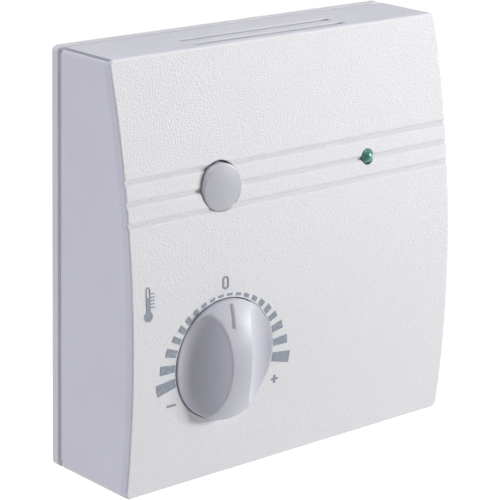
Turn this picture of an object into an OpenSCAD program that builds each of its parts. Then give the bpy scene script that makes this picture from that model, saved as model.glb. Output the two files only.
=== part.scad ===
// Wall thermostat: a square wall unit with a setpoint knob, a button and a status light.
// The origin is the centre of the back face, +X is right as seen from the front,
// +Z is up and the front looks along -Y. Sizes are in millimetres.

/* [Case] */
// Width of the case at the wall
case_w = 84.5; // [84:0.1:86]
// Height of the case
case_h = 84.5; // [84:0.1:86]
// Depth of the case at its fullest point
case_d = 25; // [24.8:0.1:26]
// Radius of the curved front
front_r = 218; // [210:1:230]
// Height of the fullest point of the front, measured from the middle
front_apex = -15.3; // [-18:0.1:-14]
// Draft of the left and right sides in degrees
side_draft = 0.1; // [0.05:0.05:0.3]
// Wall thickness of the cover
wall = 2; // [1.8:0.1:2.2]
// Rounding of the outer edges
edge_r = 0.5; // [0.4:0.1:0.8]
// Radius of the four upright corners
corner_r = 1.2; // [0.8:0.1:1.6]

/* [Base plate] */
// Thickness of the flange that shows at the wall
flange_t = 1.7; // [1.6:0.1:1.8]
// Depth at which the reveal behind the cover ends
reveal_top = 2.8; // [2.7:0.1:2.9]
// How far the reveal sits inside the outline
reveal_inset = 0.7; // [0.5:0.1:1]
// Thickness of the plate's web
web_t = 2; // [1.8:0.1:2.2]
// Distance between opposite wall screws
screw_spacing = 60; // [60:1:60]
// Half the width of a screw slot
slot_r = 2.1; // [2:0.1:2.3]
// End-to-end length of a screw slot
slot_len = 9; // [8:0.5:9]
// Width of the cable window
window_w = 36; // [30:1:38]
// Height of the cable window
window_h = 17; // [14:1:17]

/* [Front details] */
// Height of the middle groove on the front
groove_mid = 16; // [15.8:0.1:16.2]
// Pitch of the three grooves
groove_pitch = 4; // [3.8:0.1:4.2]
// Depth of a groove
groove_deep = 0.5; // [0.4:0.05:0.6]
// Length of a vent slot
vent_len = 39; // [36:1:42]
// Width of a vent slot
vent_w = 1.4; // [1.2:0.1:1.6]

/* [Controls] */
// Distance of the button and the light from the middle line
control_x = 19.3; // [19:0.1:19.4]
// Distance of the knob's axis from the middle line
knob_x = 19.4; // [19.3:0.1:19.5]
// Height of the knob's axis
knob_z = -17.8; // [-18:0.1:-17.6]
// Radius of the knob
knob_r = 12; // [11.9:0.1:12.2]
// How far the knob stands out of the case
knob_h = 5.5; // [5.4:0.1:5.7]
// Radius of the knob's domed face
dome_r = 20; // [19.5:0.1:20.5]
// How far the pointer stands out of the dome
pointer_high = 0.35; // [0.3:0.05:0.4]
// Half the least width of the knob's grip
grip_half = 1.9; // [1.8:0.05:2]
// Radius of each finger scoop
scoop_r = 8.4; // [8.3:0.05:8.5]
// Turn of the knob each way from the middle
knob_turn = 105; // [100:1:108]
// Height of the button's and the light's axes
button_z = 16.2; // [16:0.1:16.4]
// Radius of the button cap
button_r = 4.65; // [4.6:0.05:4.7]
// Radius of the button's crowned face
button_dome_r = 31; // [28:1:34]
// Travel of the button
button_travel = 0.6; // [0.4:0.05:0.6]
// Radius of the light's lens
led_r = 1.5; // [1.4:0.1:1.5]

/* [Circuit board] */
// Depth of the board's back face
pcb_back = 14; // [13.8:0.1:14.2]
// Thickness of the boards
pcb_t = 1.6; // [1.5:0.1:1.6]
// Number of plug-in contacts between the two boards
contacts = 8; // [6:1:10]
// Number of wiring terminals
poles = 6; // [4:1:6]

/* [Hidden] */
$fn = 64;
far = 60;            // longer than any cut has to be
gap = 0.1;           // play between parts that only rest on each other
running = 0.05;      // radial clearance of a turning shaft
arc_steps = 5;       // straight steps in a quarter of a rounded edge

axis_depth = case_d - front_r;             // depth of the axis of the curved front
cover_back = reveal_top + gap;             // depth of the cover's rear edge
pcb_front = pcb_back + pcb_t;
board_back = 3;                            // depth of the terminal board's back face
board_front = board_back + pcb_t;
board_low = -21;
board_high = -3;
board_half = 25;
rim_inset = wall + 0.2;                    // the base's rim runs just inside the cover
rim_t = 1.2;
rim_top = 6;
tongue_x = 28;
tongue_w = 10;
tongue_top = 11;
window_low = 4;
boss_x = 32;
boss_levels = [-33, 18];
rib_levels = [-33, -1];
vent_depths = [10, 14.3];
boss_r = 3;
pilot_r = 1;
recess_r = knob_r + 0.2;
recess_floor = case_d - 1;
knob_back = recess_floor + 0.3;
knob_top = case_d + knob_h;
scoop_x = grip_half + scoop_r;
scoop_depth = case_d + scoop_r + 0.2;
shaft_r = 2;
shaft_top = case_d + 4;
shaft_flat = 0.5;
bush_r = 3.3;
pot_r = 8;
pot_wall = 0.8;
wafer_t = 1.2;
pot_back = pcb_front + wafer_t;
pot_front = pot_back + 4;
disc_r = 6.2;
disc_back = pot_back + 0.8;
disc_t = 0.8;
tab_half = 8;
lug_half = 180 - knob_turn - tab_half - 1;
button_top = 23.7;
hole_r = button_r + 0.25;
button_sag = 0.2;    // the loose button rests on the lower edge of its hole
tube_back = 17.9;
flange_top = tube_back - 0.2;
dome_back = pcb_front + 0.2;
dome_t = 0.15;
plunger_back = dome_back + dome_t + button_travel + gap;
plunger_top = pcb_front + 3;
led_tip = 23.45;
led_hole_r = led_r + 0.1;
contact_pitch = 2.54;
contact_y = -18.5;
pole_pitch = 5;
block_low = -12;
block_high = -3.5;
block_top = board_front + 8;
wire_z = board_front + 2.9;
sensor_y = 32.5;
sensor_depth = 12;
ink_t = 0.08;
plastic_white = [0.9, 0.9, 0.91];
plastic_grey = [0.78, 0.78, 0.81];
ink_grey = [0.55, 0.58, 0.62];
board_green = [0.1, 0.4, 0.2];
metal = [0.75, 0.75, 0.76];
brass = [0.8, 0.65, 0.3];
black = [0.1, 0.1, 0.11];

// Everything is drawn as it lies on its back: x right, y up the wall, z out of the wall.
module on_wall() rotate([90, 0, 0]) children();

// A block between two opposite corners
module block(low, high) translate(low) cube(high - low);

// A cylinder along the depth, between two depths
module post(x, y, back, front, r) translate([x, y, back]) cylinder(h = front - back, r = r);

// A tube along the depth
module tube(x, y, back, front, r_out, r_in) difference() {
    post(x, y, back, front, r_out);
    post(x, y, back - 1, front + 1, r_in);
}

function arc_points(cx, cy, r, from, to, steps) =
    [for (i = [0:steps]) let (a = from + (to - from) * i / steps) [cx + r * cos(a), cy + r * sin(a)]];

// Half the width of the case at a distance from the axis of the curved front
function half_width(r) = case_w / 2 - tan(side_draft) * (r - front_r + case_d);

// Section of the case along a radius of the curved front: (distance from the axis, x)
function radial_section(inset, round_r) = let (
        r = front_r - inset,
        deep = front_r - case_d - 5,
        w = half_width(front_r) - inset)
    concat([[deep, half_width(deep) - inset], [deep, inset - half_width(deep)]],
        arc_points(r - round_r, round_r - w, round_r, -90, 0, arc_steps),
        arc_points(r - round_r, w - round_r, round_r, 0, 90, arc_steps));

// Side view of the case with its rounded upper and lower front edges: (height, depth)
function side_section(inset, round_r) = let (
        r = front_r - inset - round_r,
        h = case_h / 2 - inset,
        top = h - round_r,
        low = round_r - h,
        top_angle = acos((top - front_apex) / r),
        low_angle = acos((low - front_apex) / r),
        beyond = front_r + 8)
    concat([[-h, 0], [h, 0]],
        arc_points(top, axis_depth + r * sin(top_angle), round_r, 0, top_angle, arc_steps),
        [[front_apex + beyond * cos(top_angle), axis_depth + beyond * sin(top_angle)],
         [front_apex + beyond * cos(low_angle), axis_depth + beyond * sin(low_angle)]],
        arc_points(low, axis_depth + r * sin(low_angle), round_r, low_angle, 180, arc_steps));

// A solid swept round the axis of the curved front
module swept_front() translate([0, front_apex, axis_depth])
    rotate([0, 90, 0]) rotate_extrude(angle = 28, start = 160, $fn = 360) children();

// The filled case, or the same shape moved in by an inset
module case_shape(inset, round_r) intersection() {
    swept_front() polygon(radial_section(inset, round_r));
    rotate([90, 0, 90]) linear_extrude(2 * far, center = true) polygon(side_section(inset, round_r));
    linear_extrude(far) rounded_outline(case_w / 2 - inset, case_h / 2 - inset, corner_r);
}

// A rectangle with round corners about the middle
module rounded_outline(half_w, half_h, r) {
    square([2 * half_w, 2 * (half_h - r)], center = true);
    square([2 * (half_w - r), 2 * half_h], center = true);
    for (sx = [-1, 1], sy = [-1, 1]) translate([sx * (half_w - r), sy * (half_h - r)]) circle(r);
}

// The part of the case shape between two depths
module case_slice(inset, back, front) intersection() {
    case_shape(inset, edge_r);
    block([-far, -far, back], [far, far, front]);
}

// A ring that follows the case, between two insets and two depths
module case_ring(outer, inner, back, front) difference() {
    case_slice(outer, back, front);
    case_slice(inner, back - 1, front + 1);
}

// A slot with round ends along x
module slot_outline(length, r) {
    square([length - 2 * r, 2 * r], center = true);
    for (s = [-1, 1]) translate([s * (length / 2 - r), 0]) circle(r);
}

// ---- Base plate and its terminal board ----

module base_plate() color(plastic_white) on_wall() difference() {
    union() {
        case_slice(0, 0, flange_t);
        case_slice(reveal_inset, 0, web_t);
        case_ring(reveal_inset, rim_inset + rim_t, 0, reveal_top);
        case_ring(rim_inset, rim_inset + rim_t, 0, rim_top);
        for (sx = [-1, 1], sy = [-1, 1]) intersection() {
            case_ring(rim_inset, rim_inset + rim_t, 0, tongue_top);
            translate([sx * tongue_x, sy * case_h / 2, 0]) cube([tongue_w, case_h / 2, far], center = true);
        }
        for (s = [-1, 1]) post(s * (board_half - 3), (board_low + board_high) / 2, 0, board_back, 2.6);
        for (s = [-1, 1]) block([s * 21 - 0.6, board_high + 5, 0], [s * 21 + 0.6, 20, board_back]);
    }
    for (s = [-1, 1]) {
        translate([s * screw_spacing / 2, 0, -1]) linear_extrude(far) slot_outline(slot_len, slot_r);
        translate([0, s * screw_spacing / 2, -1]) linear_extrude(far)
            rotate(90) slot_outline(slot_len, slot_r);
        post(s * (board_half - 3), (board_low + board_high) / 2, 0.8, far, 0.9);
    }
    translate([0, window_low + window_h / 2, -1]) linear_extrude(far)
        rounded_outline(window_w / 2, window_h / 2, 2);
}

module terminal_board() color(board_green) on_wall() difference() {
    block([-board_half, board_low, board_back], [board_half, board_high, board_front]);
    for (s = [-1, 1]) post(s * (board_half - 3), (board_low + board_high) / 2, 0, far, 1.2);
}

// A pan-head screw whose head rests at a depth and whose shank points along -z
module pan_screw(x, y, seat, length, shank_r, head_r, head_t) difference() {
    union() {
        post(x, y, seat - length, seat, shank_r);
        post(x, y, seat, seat + head_t, head_r);
    }
    for (turn = [0, 90]) translate([x, y, seat + head_t]) rotate(turn)
        cube([head_r * 1.1, head_r * 0.28, head_t], center = true);
}

module terminal_board_screws() color(metal) on_wall()
    for (s = [-1, 1]) pan_screw(s * (board_half - 3), (board_low + board_high) / 2,
        board_front, 3.6, 0.85, 1.9, 1.3);

module each_pole() for (i = [0:poles - 1]) translate([(i - (poles - 1) / 2) * pole_pitch, 0, 0]) children();

module terminal_block() color([0.2, 0.5, 0.3]) on_wall() difference() {
    block([-poles * pole_pitch / 2, block_low, board_front], [poles * pole_pitch / 2, block_high, block_top]);
    each_pole() {
        block([-1.6, block_high - 6, wire_z - 1.9], [1.6, block_high + 1, wire_z + 1.9]);
        post(0, block_high - 3.5, wire_z, far, 1.1);
        post(0, block_high - 3.5, wire_z + 2.6, far, 1.8);
    }
    translate([0, block_low, block_top]) rotate([45, 0, 0]) cube([far, 2.4, 2.4], center = true);
}

module terminal_clamps() color(brass) on_wall() each_pole() difference() {
    block([-1.5, block_high - 5.3, wire_z - 1.8], [1.5, block_high - 1.7, wire_z + 1.8]);
    block([-1.1, block_high - far, wire_z - 1.3], [1.1, block_high + far, wire_z + 0.8]);
    post(0, block_high - 3.5, wire_z, far, 1.05);
}

module terminal_screws() color(metal) on_wall() each_pole() difference() {
    union() {
        post(0, block_high - 3.5, wire_z + 0.2, wire_z + 2.6, 1);
        post(0, block_high - 3.5, wire_z + 2.6, wire_z + 4, 1.6);
    }
    translate([0, block_high - 3.5, wire_z + 4]) cube([4, 0.5, 1.2], center = true);
}

module each_contact() for (i = [0:contacts - 1])
    translate([(i - (contacts - 1) / 2) * contact_pitch, contact_y, 0]) children();

// A square bar along the depth, centred on the current point
module square_bar(side, back, front) block([-side / 2, -side / 2, back], [side / 2, side / 2, front]);

contact_half = contacts * contact_pitch / 2;
socket_top = board_front + 6;

module socket_strip() color(black) on_wall() difference() {
    block([-contact_half, contact_y - 1.25, board_front], [contact_half, contact_y + 1.25, socket_top]);
    each_contact() square_bar(0.94, board_front + 0.5, far);
}

// ---- Front cover and what is fixed to it ----

// One groove across the front: a round bar sunk into the curved face
module groove(y) {
    bar_r = 0.75;
    tilt = asin((y - front_apex) / front_r);
    reach = front_r - groove_deep + bar_r;
    translate([0, front_apex + reach * sin(tilt), axis_depth + reach * cos(tilt)])
        rotate([0, 90, 0]) cylinder(h = 2 * far, r = bar_r, center = true);
}

module front_cover() color(plastic_white) on_wall() difference() {
    union() {
        difference() {
            case_slice(0, cover_back, far);
            case_shape(wall, edge_r / 2);
        }
        intersection() {
            union() {
                for (s = [-1, 1], y = boss_levels) post(s * boss_x, y, pcb_front, far, boss_r);
                post(-control_x, button_z, tube_back, far, hole_r + 1.1);
                post(control_x, button_z, 20, far, led_hole_r + 1);
                for (y = rib_levels) block([-boss_x, y - 0.5, 21.6], [boss_x, y + 0.5, far]);
            }
            case_shape(wall / 2, edge_r / 2);
        }
    }
    for (i = [-1:1]) groove(groove_mid + i * groove_pitch);
    for (s = [-1, 1], y = boss_levels) post(s * boss_x, y, 0, pcb_front + 4.4, pilot_r);
    post(-control_x, button_z, 0, far, hole_r);
    post(control_x, button_z, 0, far, led_hole_r);
    post(-knob_x, knob_z, 0, far, bush_r + 0.3);
    post(-knob_x, knob_z, recess_floor, far, recess_r);
    for (depth = vent_depths, s = [-1, 1])
        translate([0, s * case_h / 2, depth]) cube([vent_len, 3 * wall, vent_w], center = true);
}

mark_angles = [5, 14.7, 24.5, 34.3, 44, 53.5, 63, 74, 87, 100.5];   // middle of each mark, from the top
mark_spans = [5.3, 5.3, 5.3, 5.3, 5.3, 5.3, 5, 6.4, 6.6, 8.2];      // angle that each mark covers

// One mark of the scale: the marks grow outwards towards the ends of the scale
module scale_mark(i) {
    inner = knob_r + 0.6;
    outer = 13.1 + 4.3 * pow(mark_angles[i] / 104, 2);
    low = 90 - mark_angles[i] - mark_spans[i] / 2;
    high = 90 - mark_angles[i] + mark_spans[i] / 2;
    polygon(concat(arc_points(0, 0, inner, low, high, 2), arc_points(0, 0, outer, high, low, 2)));
}

module zero_outline() difference() {
    rounded_outline(0.8, 1.3, 0.7);
    rounded_outline(0.42, 0.92, 0.38);
}

module thermometer_icon() {
    bulb_r = 1;
    tube_r = 0.5;
    tube_top = 5.2;
    line = 0.2;
    difference() {
        union() {
            circle(bulb_r);
            translate([-tube_r, 0]) square([2 * tube_r, tube_top]);
            translate([0, tube_top]) circle(tube_r);
        }
        translate([line - tube_r, 3.6]) square([2 * (tube_r - line), tube_top - 3.6]);
        translate([0, tube_top]) circle(tube_r - line);
    }
    for (i = [0:4]) translate([0.6, 1.6 + i * 0.66]) square([0.9, 0.2]);
}

module scale_print() color(ink_grey) on_wall() intersection() {
    swept_front() translate([front_r, -case_w / 2]) square([ink_t, case_w]);
    linear_extrude(far) {
        translate([-knob_x, knob_z]) for (i = [0:len(mark_angles) - 1], s = [0, 1])
            mirror([s, 0]) scale_mark(i);
        translate([-control_x, knob_z + 15.3]) zero_outline();
        translate([-32.5, -24.6]) square([2.1, 0.45], center = true);
        translate([-6.15, -24.95]) {
            square([1.7, 0.45], center = true);
            square([0.45, 1.7], center = true);
        }
        translate([-38.3, -5.6]) thermometer_icon();
    }
}

// ---- Main circuit board ----

pcb_half = 36;
pcb_low = -37;
pcb_high = 23;
pot_pin_y = -8.3;      // from the knob's axis

module circuit_board() color(board_green) on_wall() difference() {
    block([-pcb_half, pcb_low, pcb_back], [pcb_half, pcb_high, pcb_front]);
    for (s = [-1, 1], y = boss_levels) post(s * boss_x, y, 0, far, 1.3);
    each_contact() post(0, 0, 0, far, 0.5);
    for (s = [-1, 1]) {
        post(control_x + s * contact_pitch / 2, button_z, 0, far, 0.45);
        post(s * contact_pitch / 2, pcb_high - 1.5, 0, far, 0.4);
    }
    for (i = [-1:1]) post(i * 5 - knob_x, knob_z + pot_pin_y, 0, far, 0.6);
}

module board_screws() color(metal) on_wall() mirror([0, 0, 1])
    for (s = [-1, 1], y = boss_levels) pan_screw(s * boss_x, y, -pcb_back, pcb_t + 3.8, 0.9, 2.2, 1.5);

module pin_header() color(black) on_wall() difference() {
    block([-contact_half, contact_y - 1.25, pcb_back - 2.5], [contact_half, contact_y + 1.25, pcb_back]);
    each_contact() square_bar(0.7, 0, far);
}

module header_pins() color(brass) on_wall() each_contact() square_bar(0.64, board_front + 1, pcb_front + 0.8);

// ---- Potentiometer ----

module at_knob() translate([-knob_x, knob_z, 0]) children();

module pot_housing() color(metal) on_wall() at_knob() {
    difference() {
        union() {
            post(0, 0, pot_back, pot_front, pot_r);
            post(0, 0, pot_front, case_d - 1.4, bush_r);
        }
        post(0, 0, 0, pot_front - pot_wall, pot_r - pot_wall);
        post(0, 0, 0, far, shaft_r + running);
    }
    translate([0, 0, pot_back]) rotate(-90 - lug_half)
        rotate_extrude(angle = 2 * lug_half) translate([disc_r + 0.2, 0])
            square([pot_r - pot_wall / 2 - disc_r - 0.2, 2]);
}

module pot_wafer() color([0.45, 0.3, 0.18]) on_wall() at_knob() difference() {
    union() {
        post(0, 0, pcb_front, pot_back, pot_r);
        block([-7, pot_pin_y - 0.9, pcb_front], [7, 0, pot_back]);
    }
    post(0, 0, 0, far, 1.05);
    for (i = [-1:1]) block([i * 5 - 0.5, pot_pin_y - 0.3, 0], [i * 5 + 0.5, pot_pin_y + 0.25, far]);
}

module pot_track() color(black) on_wall() at_knob() translate([0, 0, pot_back]) rotate(-60)
    rotate_extrude(angle = 300) translate([4.2, 0]) square([1.8, 0.15]);

module pot_terminals() color(metal) on_wall() at_knob() for (i = [-1:1])
    block([i * 5 - 0.4, pot_pin_y - 0.2, pcb_back - 1.2], [i * 5 + 0.4, pot_pin_y + 0.2, pot_back + 0.5]);

module pot_shaft() color(metal) on_wall() at_knob() {
    post(0, 0, pcb_front + 0.3, disc_back, 1);
    post(0, 0, disc_back, disc_back + disc_t, disc_r);
    translate([0, 0, disc_back]) rotate(90 - tab_half) rotate_extrude(angle = 2 * tab_half)
        translate([disc_r - 0.5, 0]) square([1.2, disc_t]);
    difference() {
        post(0, 0, disc_back, shaft_top, shaft_r);
        block([-far, shaft_r - shaft_flat, case_d + 0.5], [far, far, far]);
    }
}

module pot_wiper() color(brass) on_wall() at_knob() {
    tube(0, 0, disc_back - 0.35, disc_back, 3.4, 1.2);
    block([-0.7, 3, disc_back - 0.35], [0.7, 5.8, disc_back]);
    block([-0.7, 4.6, pot_back + 0.2], [0.7, 5.6, disc_back]);
}

// ---- Knob ----

// The pointer: a wedge that stands a little out of the dome and narrows towards the rim
module pointer() intersection() {
    linear_extrude(far) polygon([[-1.25, 7.5], [1.25, 7.5], [0.2, knob_r - 0.3], [-0.2, knob_r - 0.3]]);
    translate([0, 0, knob_top - dome_r]) sphere(dome_r + pointer_high, $fn = 128);
    post(0, 0, knob_back + 1, far, knob_r);
}

module setpoint_knob() color(plastic_grey) on_wall() at_knob() difference() {
    union() {
        intersection() {
            post(0, 0, knob_back, far, knob_r);
            translate([0, 0, knob_top - dome_r]) sphere(dome_r, $fn = 128);
        }
        pointer();
    }
    for (s = [-1, 1]) translate([s * scoop_x, 0, scoop_depth]) rotate([90, 0, 0])
        cylinder(h = far, r = scoop_r, center = true);
    difference() {
        post(0, 0, 0, shaft_top + 0.2, shaft_r + 0.02);
        block([-far, shaft_r - shaft_flat + 0.02, case_d + 0.5], [far, far, far]);
    }
    for (s = [0, 1]) mirror([0, s, 0]) intersection() {
        block([-1.6, 3.2, 0], [1.6, 9.4, far]);
        translate([0, 0, knob_top - dome_r]) sphere(dome_r - 1.3);
    }
}

// ---- Button and its switch ----

module at_button() translate([-control_x, button_z - button_sag, 0]) children();

module switch_body() color(black) on_wall() at_button() difference() {
    block([-2.3, -2.3, pcb_front], [2.3, 2.3, pcb_front + 2]);
    post(0, 0, dome_back, plunger_back + 0.5, 1.9);
    post(0, 0, pcb_front + 1, far, 1.15);
}

module switch_dome() color(metal) on_wall() at_button() post(0, 0, dome_back, dome_back + dome_t, 1.7);

module switch_plunger() color([0.7, 0.2, 0.15]) on_wall() at_button() {
    post(0, 0, plunger_back, plunger_back + 0.4, 1.7);
    post(0, 0, plunger_back, plunger_top, 1.05);
}

module button_cap() color(plastic_grey) on_wall() at_button() {
    skin = 1.8;
    bore = button_r - 0.9;
    difference() {
        intersection() {
            union() {
                post(0, 0, flange_top - 0.8, flange_top, hole_r + 0.75);
                post(0, 0, flange_top - 0.8, button_top, button_r);
            }
            translate([0, 0, button_top - button_dome_r]) sphere(button_dome_r, $fn = 128);
        }
        post(0, 0, 0, button_top - skin, bore);
    }
    post(0, 0, plunger_top, button_top - skin / 2, 1.2);
}

// ---- Status light ----

module status_led() color([0.3, 0.65, 0.5]) on_wall() translate([control_x, button_z, 0]) {
    post(0, 0, pcb_front + 2.5, pcb_front + 3.3, 1.9);
    post(0, 0, pcb_front + 2.5, led_tip - led_r, led_r);
    translate([0, 0, led_tip - led_r]) sphere(led_r);
}

module led_leads() color(metal) on_wall() for (s = [-1, 1])
    translate([control_x + s * contact_pitch / 2, button_z, 0])
        square_bar(0.5, pcb_back - 1, pcb_front + 2.5);

module led_spacer() color(black) on_wall() difference() {
    post(control_x, button_z, pcb_front, pcb_front + 2.5, 2);
    for (s = [-1, 1]) post(control_x + s * contact_pitch / 2, button_z, 0, far, 0.4);
}

// ---- Temperature sensor ----

module temperature_sensor() color([0.25, 0.35, 0.6]) on_wall() translate([0, sensor_y, sensor_depth])
    rotate([90, 0, 0]) {
        cylinder(h = 2.4, r = 1.7, center = true);
        translate([0, 0, -1.2]) sphere(1.7);
    }

module sensor_leads() color(metal) on_wall() for (s = [-1, 1]) translate([s * contact_pitch / 2, 0, 0]) {
    post(0, pcb_high - 1.5, sensor_depth, pcb_front + 0.6, 0.28);
    translate([0, pcb_high - 1.5, sensor_depth]) rotate([-90, 0, 0])
        cylinder(h = sensor_y - pcb_high + 0.3, r = 0.28);
    translate([0, pcb_high - 1.5, sensor_depth]) sphere(0.28);
}

// ---- Electronics ----

chip_x = 12;
chip_y = -10;

module microcontroller() color(black) on_wall()
    difference() {
        block([chip_x - 5, chip_y - 3.7, pcb_front + 0.2], [chip_x + 5, chip_y + 3.7, pcb_front + 2.5]);
        post(chip_x - 4, chip_y - 2.7, pcb_front + 2.3, far, 0.5);
    }

module microcontroller_pins() color(metal) on_wall()
    for (i = [0:6], s = [0, 1]) translate([chip_x + (i - 3) * 1.27, chip_y, pcb_front])
        mirror([0, s, 0]) {
            block([-0.2, 3.7, 1], [0.2, 4.4, 1.25]);
            block([-0.2, 4.15, 0], [0.2, 4.4, 1.25]);
            block([-0.2, 4.15, 0], [0.2, 5.1, 0.25]);
        }

module smoothing_capacitors() color([0.15, 0.2, 0.35]) on_wall()
    for (y = [-29, -18]) difference() {
        post(24, y, pcb_back - 7.5, pcb_back, 4);
        tube(24, y, pcb_back - 1.8, pcb_back - 1.2, 5, 3.8);
        for (turn = [0, 90]) translate([24, y, pcb_back - 7.5]) rotate(turn)
            cube([5, 0.3, 0.4], center = true);
    }

module relay() color([0.85, 0.5, 0.15]) on_wall()
    difference() {
        block([20, 2, pcb_back - 8], [35, 14, pcb_back]);
        for (s = [0, 1]) translate([s * 15 + 20, 8, pcb_back - 8]) rotate([0, 45, 0])
            cube([1, far, 1], center = true);
    }

module voltage_regulator() color(black) on_wall() {
    block([22, -30, pcb_front], [28, -24, pcb_front + 2.2]);
    block([22.4, -24, pcb_front], [27.6, -22.6, pcb_front + 0.5]);
    for (x = [22.8, 26.6]) block([x, -32.2, pcb_front], [x + 0.6, -30, pcb_front + 0.5]);
}

// A small chip part, long side along x
module chip_part(x, y, length, width, height)
    translate([x - length / 2, y - width / 2, pcb_front]) cube([length, width, height]);

module chip_resistors() color(black) on_wall()
    for (i = [0:3], j = [0:1]) chip_part(4 + i * 5, 3 + j * 3.2, 2, 1.25, 0.55);

module chip_capacitors() color([0.7, 0.6, 0.45]) on_wall()
    for (i = [0:4]) chip_part(4 + i * 4.5, -20.5, 2, 1.25, 1);

base_plate();
terminal_board();
terminal_board_screws();
terminal_block();
terminal_screws();
terminal_clamps();
socket_strip();
front_cover();
scale_print();
circuit_board();
board_screws();
pin_header();
header_pins();
pot_housing();
pot_wafer();
pot_track();
pot_terminals();
switch_body();
switch_dome();
status_led();
led_leads();
led_spacer();
temperature_sensor();
sensor_leads();
microcontroller();
microcontroller_pins();
smoothing_capacitors();
relay();
voltage_regulator();
chip_resistors();
chip_capacitors();
setpoint_knob();
pot_shaft();
pot_wiper();
button_cap();
switch_plunger();
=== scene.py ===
"""The looks of the wall thermostat: its own mesh pieces, materials, light and camera.

Lengths in this script are millimetres in a frame that lies on its back: x to the right, z up the wall
and d, the depth out of the wall, which is -Y of the shared frame. place() turns them into metres.
"""
import math
import bpy
import numpy as np
from mathutils import Matrix, Vector, geometry


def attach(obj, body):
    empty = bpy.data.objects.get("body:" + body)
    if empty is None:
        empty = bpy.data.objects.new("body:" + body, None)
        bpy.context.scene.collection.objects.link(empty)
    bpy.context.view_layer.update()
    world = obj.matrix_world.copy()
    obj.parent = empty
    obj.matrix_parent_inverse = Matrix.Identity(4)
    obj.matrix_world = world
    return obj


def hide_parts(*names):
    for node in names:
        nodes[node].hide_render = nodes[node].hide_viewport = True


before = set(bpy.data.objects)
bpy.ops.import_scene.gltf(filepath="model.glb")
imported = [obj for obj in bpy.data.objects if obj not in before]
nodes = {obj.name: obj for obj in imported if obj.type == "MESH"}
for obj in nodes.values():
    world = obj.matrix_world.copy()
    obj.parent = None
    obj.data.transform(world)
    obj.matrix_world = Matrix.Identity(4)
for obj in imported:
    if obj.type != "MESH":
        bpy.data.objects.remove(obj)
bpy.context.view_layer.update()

MM = 0.001

# ---- Sizes of the case, most of them shared with the CAD model ----
HALF = 42.25            # half the width and height at the wall
CASE_D = 25.0           # depth at the fullest point
FRONT_R = 218.0         # radius of the curved front
APEX_Z = -15.3          # height of the fullest point
DRAFT = math.tan(math.radians(0.1))
WALL = 2.0
EDGE = 0.5              # rounding of the front edges
CORNER = 1.2            # rounding of the upright corners
SEAM_DEEP = 0.35        # fine seam that runs along each long corner
BAND = 1.25             # strip beside the front edges that is painted a little darker, as shade
REAR_BEVEL = 0.25
COVER_BACK = 2.9        # depth of the cover's rear edge
GROOVES = (20.0, 16.0, 12.0)
GROOVE_DEEP = 0.45
GROOVE_HALF = 0.8
CONTROL_X = 19.3
BUTTON_Z = 16.2
BUTTON_SAG = 0.2        # the loose button rests on the lower edge of its hole
KNOB_X = -19.4
KNOB_Z = -17.8
KNOB_R = 12.0
KNOB_H = 5.5
DOME_R = 20.0
SCOOP_R = 8.4
SCOOP_X = 10.3
SCOOP_H = 8.6
KNOB_BACK = 24.3
POINTER_LOW = 7.5       # where the pointer starts and ends above the knob's axis
POINTER_END = 11.7
POINTER_HIGH = 0.35
POINTER_WIDE = 1.25     # half its width where it starts and where it ends
POINTER_TIP = 0.2
KNOB_WALL = 1.3
KNOB_BEVEL = 0.12       # at the rear edge
POCKET_LOW = 3.2        # cored pockets above and below the shaft
POCKET_HIGH = 9.4
POCKET_HALF = 1.6
BORE_GAP = 0.02         # round the shaft
SHAFT_R = 2.0
SHAFT_TOP = 29.0
RECESS_R = 12.2
RECESS_FLOOR = 24.0
BUTTON_R = 4.65
HOLE_R = 4.9
LED_HOLE_R = 1.6
SHAFT_HOLE_R = 3.6
VENT_HALF = 19.5
VENT_W = 1.4
VENT_DEPTHS = (10.0, 14.3)
VENT_LIP = 0.3          # rounding of the slots' outer edges
VENT_ROUND = 0.3
VENT_LIP_STEPS = (0.04, 0.14, 0.32, 0.6, 1)     # shares of the lip at which it has a row of points
INNER_CORNER = 0.4      # rounding of the inner skin's upright corners

# ---- Sizes of what stands on the inner skin ----
BITE = 0.4              # how far bosses, tubes and ribs sink into the skin
SOFT = 0.2              # bevel of their free ends
BOSS_X = 32.0
BOSS_LEVELS = (-33.0, 18.0)
BOSS_R = 3.0
BOSS_BORE = 1.0
BOSS_BACK = 15.6
BOSS_BORE_END = 20.0
RIB_X = 31.5
RIB_LEVELS = (-33.0, -1.0)
RIB_BACK = 21.6
RIB_HALF = 0.5
TUBES = (  # x, inner radius, outer radius and rear end of the guides of the button and the light
    (-CONTROL_X, HOLE_R, HOLE_R + 1.1, 17.9),
    (CONTROL_X, LED_HOLE_R, 2.6, 20.0),
)

# ---- Ways of building ----
POLE = 0.001            # radius at which a turned shape ends at its axis
JUST_INSIDE = 0.9999    # factors that move a point off the line it lies on
JUST_OUTSIDE = 1.0001
SUNK = 0.02             # a rim point farther inside the outline than this lies in a seam
TOP_X = np.linspace(-1, 1, 31)          # shares of the half width with points along the top and bottom
LIP_ANGLES = (0, 18, 36, 54, 72, 90)    # angles of the rows round a hole's rounded lip
EDGE_ANGLES = (14, 28, 42, 56, 70, 90)  # and along the front's rounded edge
TEXTURED, PLAIN, EDGE_SHADE, SEAM_SHADE = range(4)   # the cover's material slots; the last two are painted shade


def place(points):
    """(x, z, d) in millimetres to points of the shared frame in metres."""
    p = np.asarray(points, float).reshape(-1, 3)
    return np.stack([p[:, 0], -p[:, 2], p[:, 1]], 1) * MM


def new_object(name, data):
    obj = bpy.data.objects.new(name, data)
    bpy.context.scene.collection.objects.link(obj)
    return obj


# ---- Mesh building ----

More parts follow.
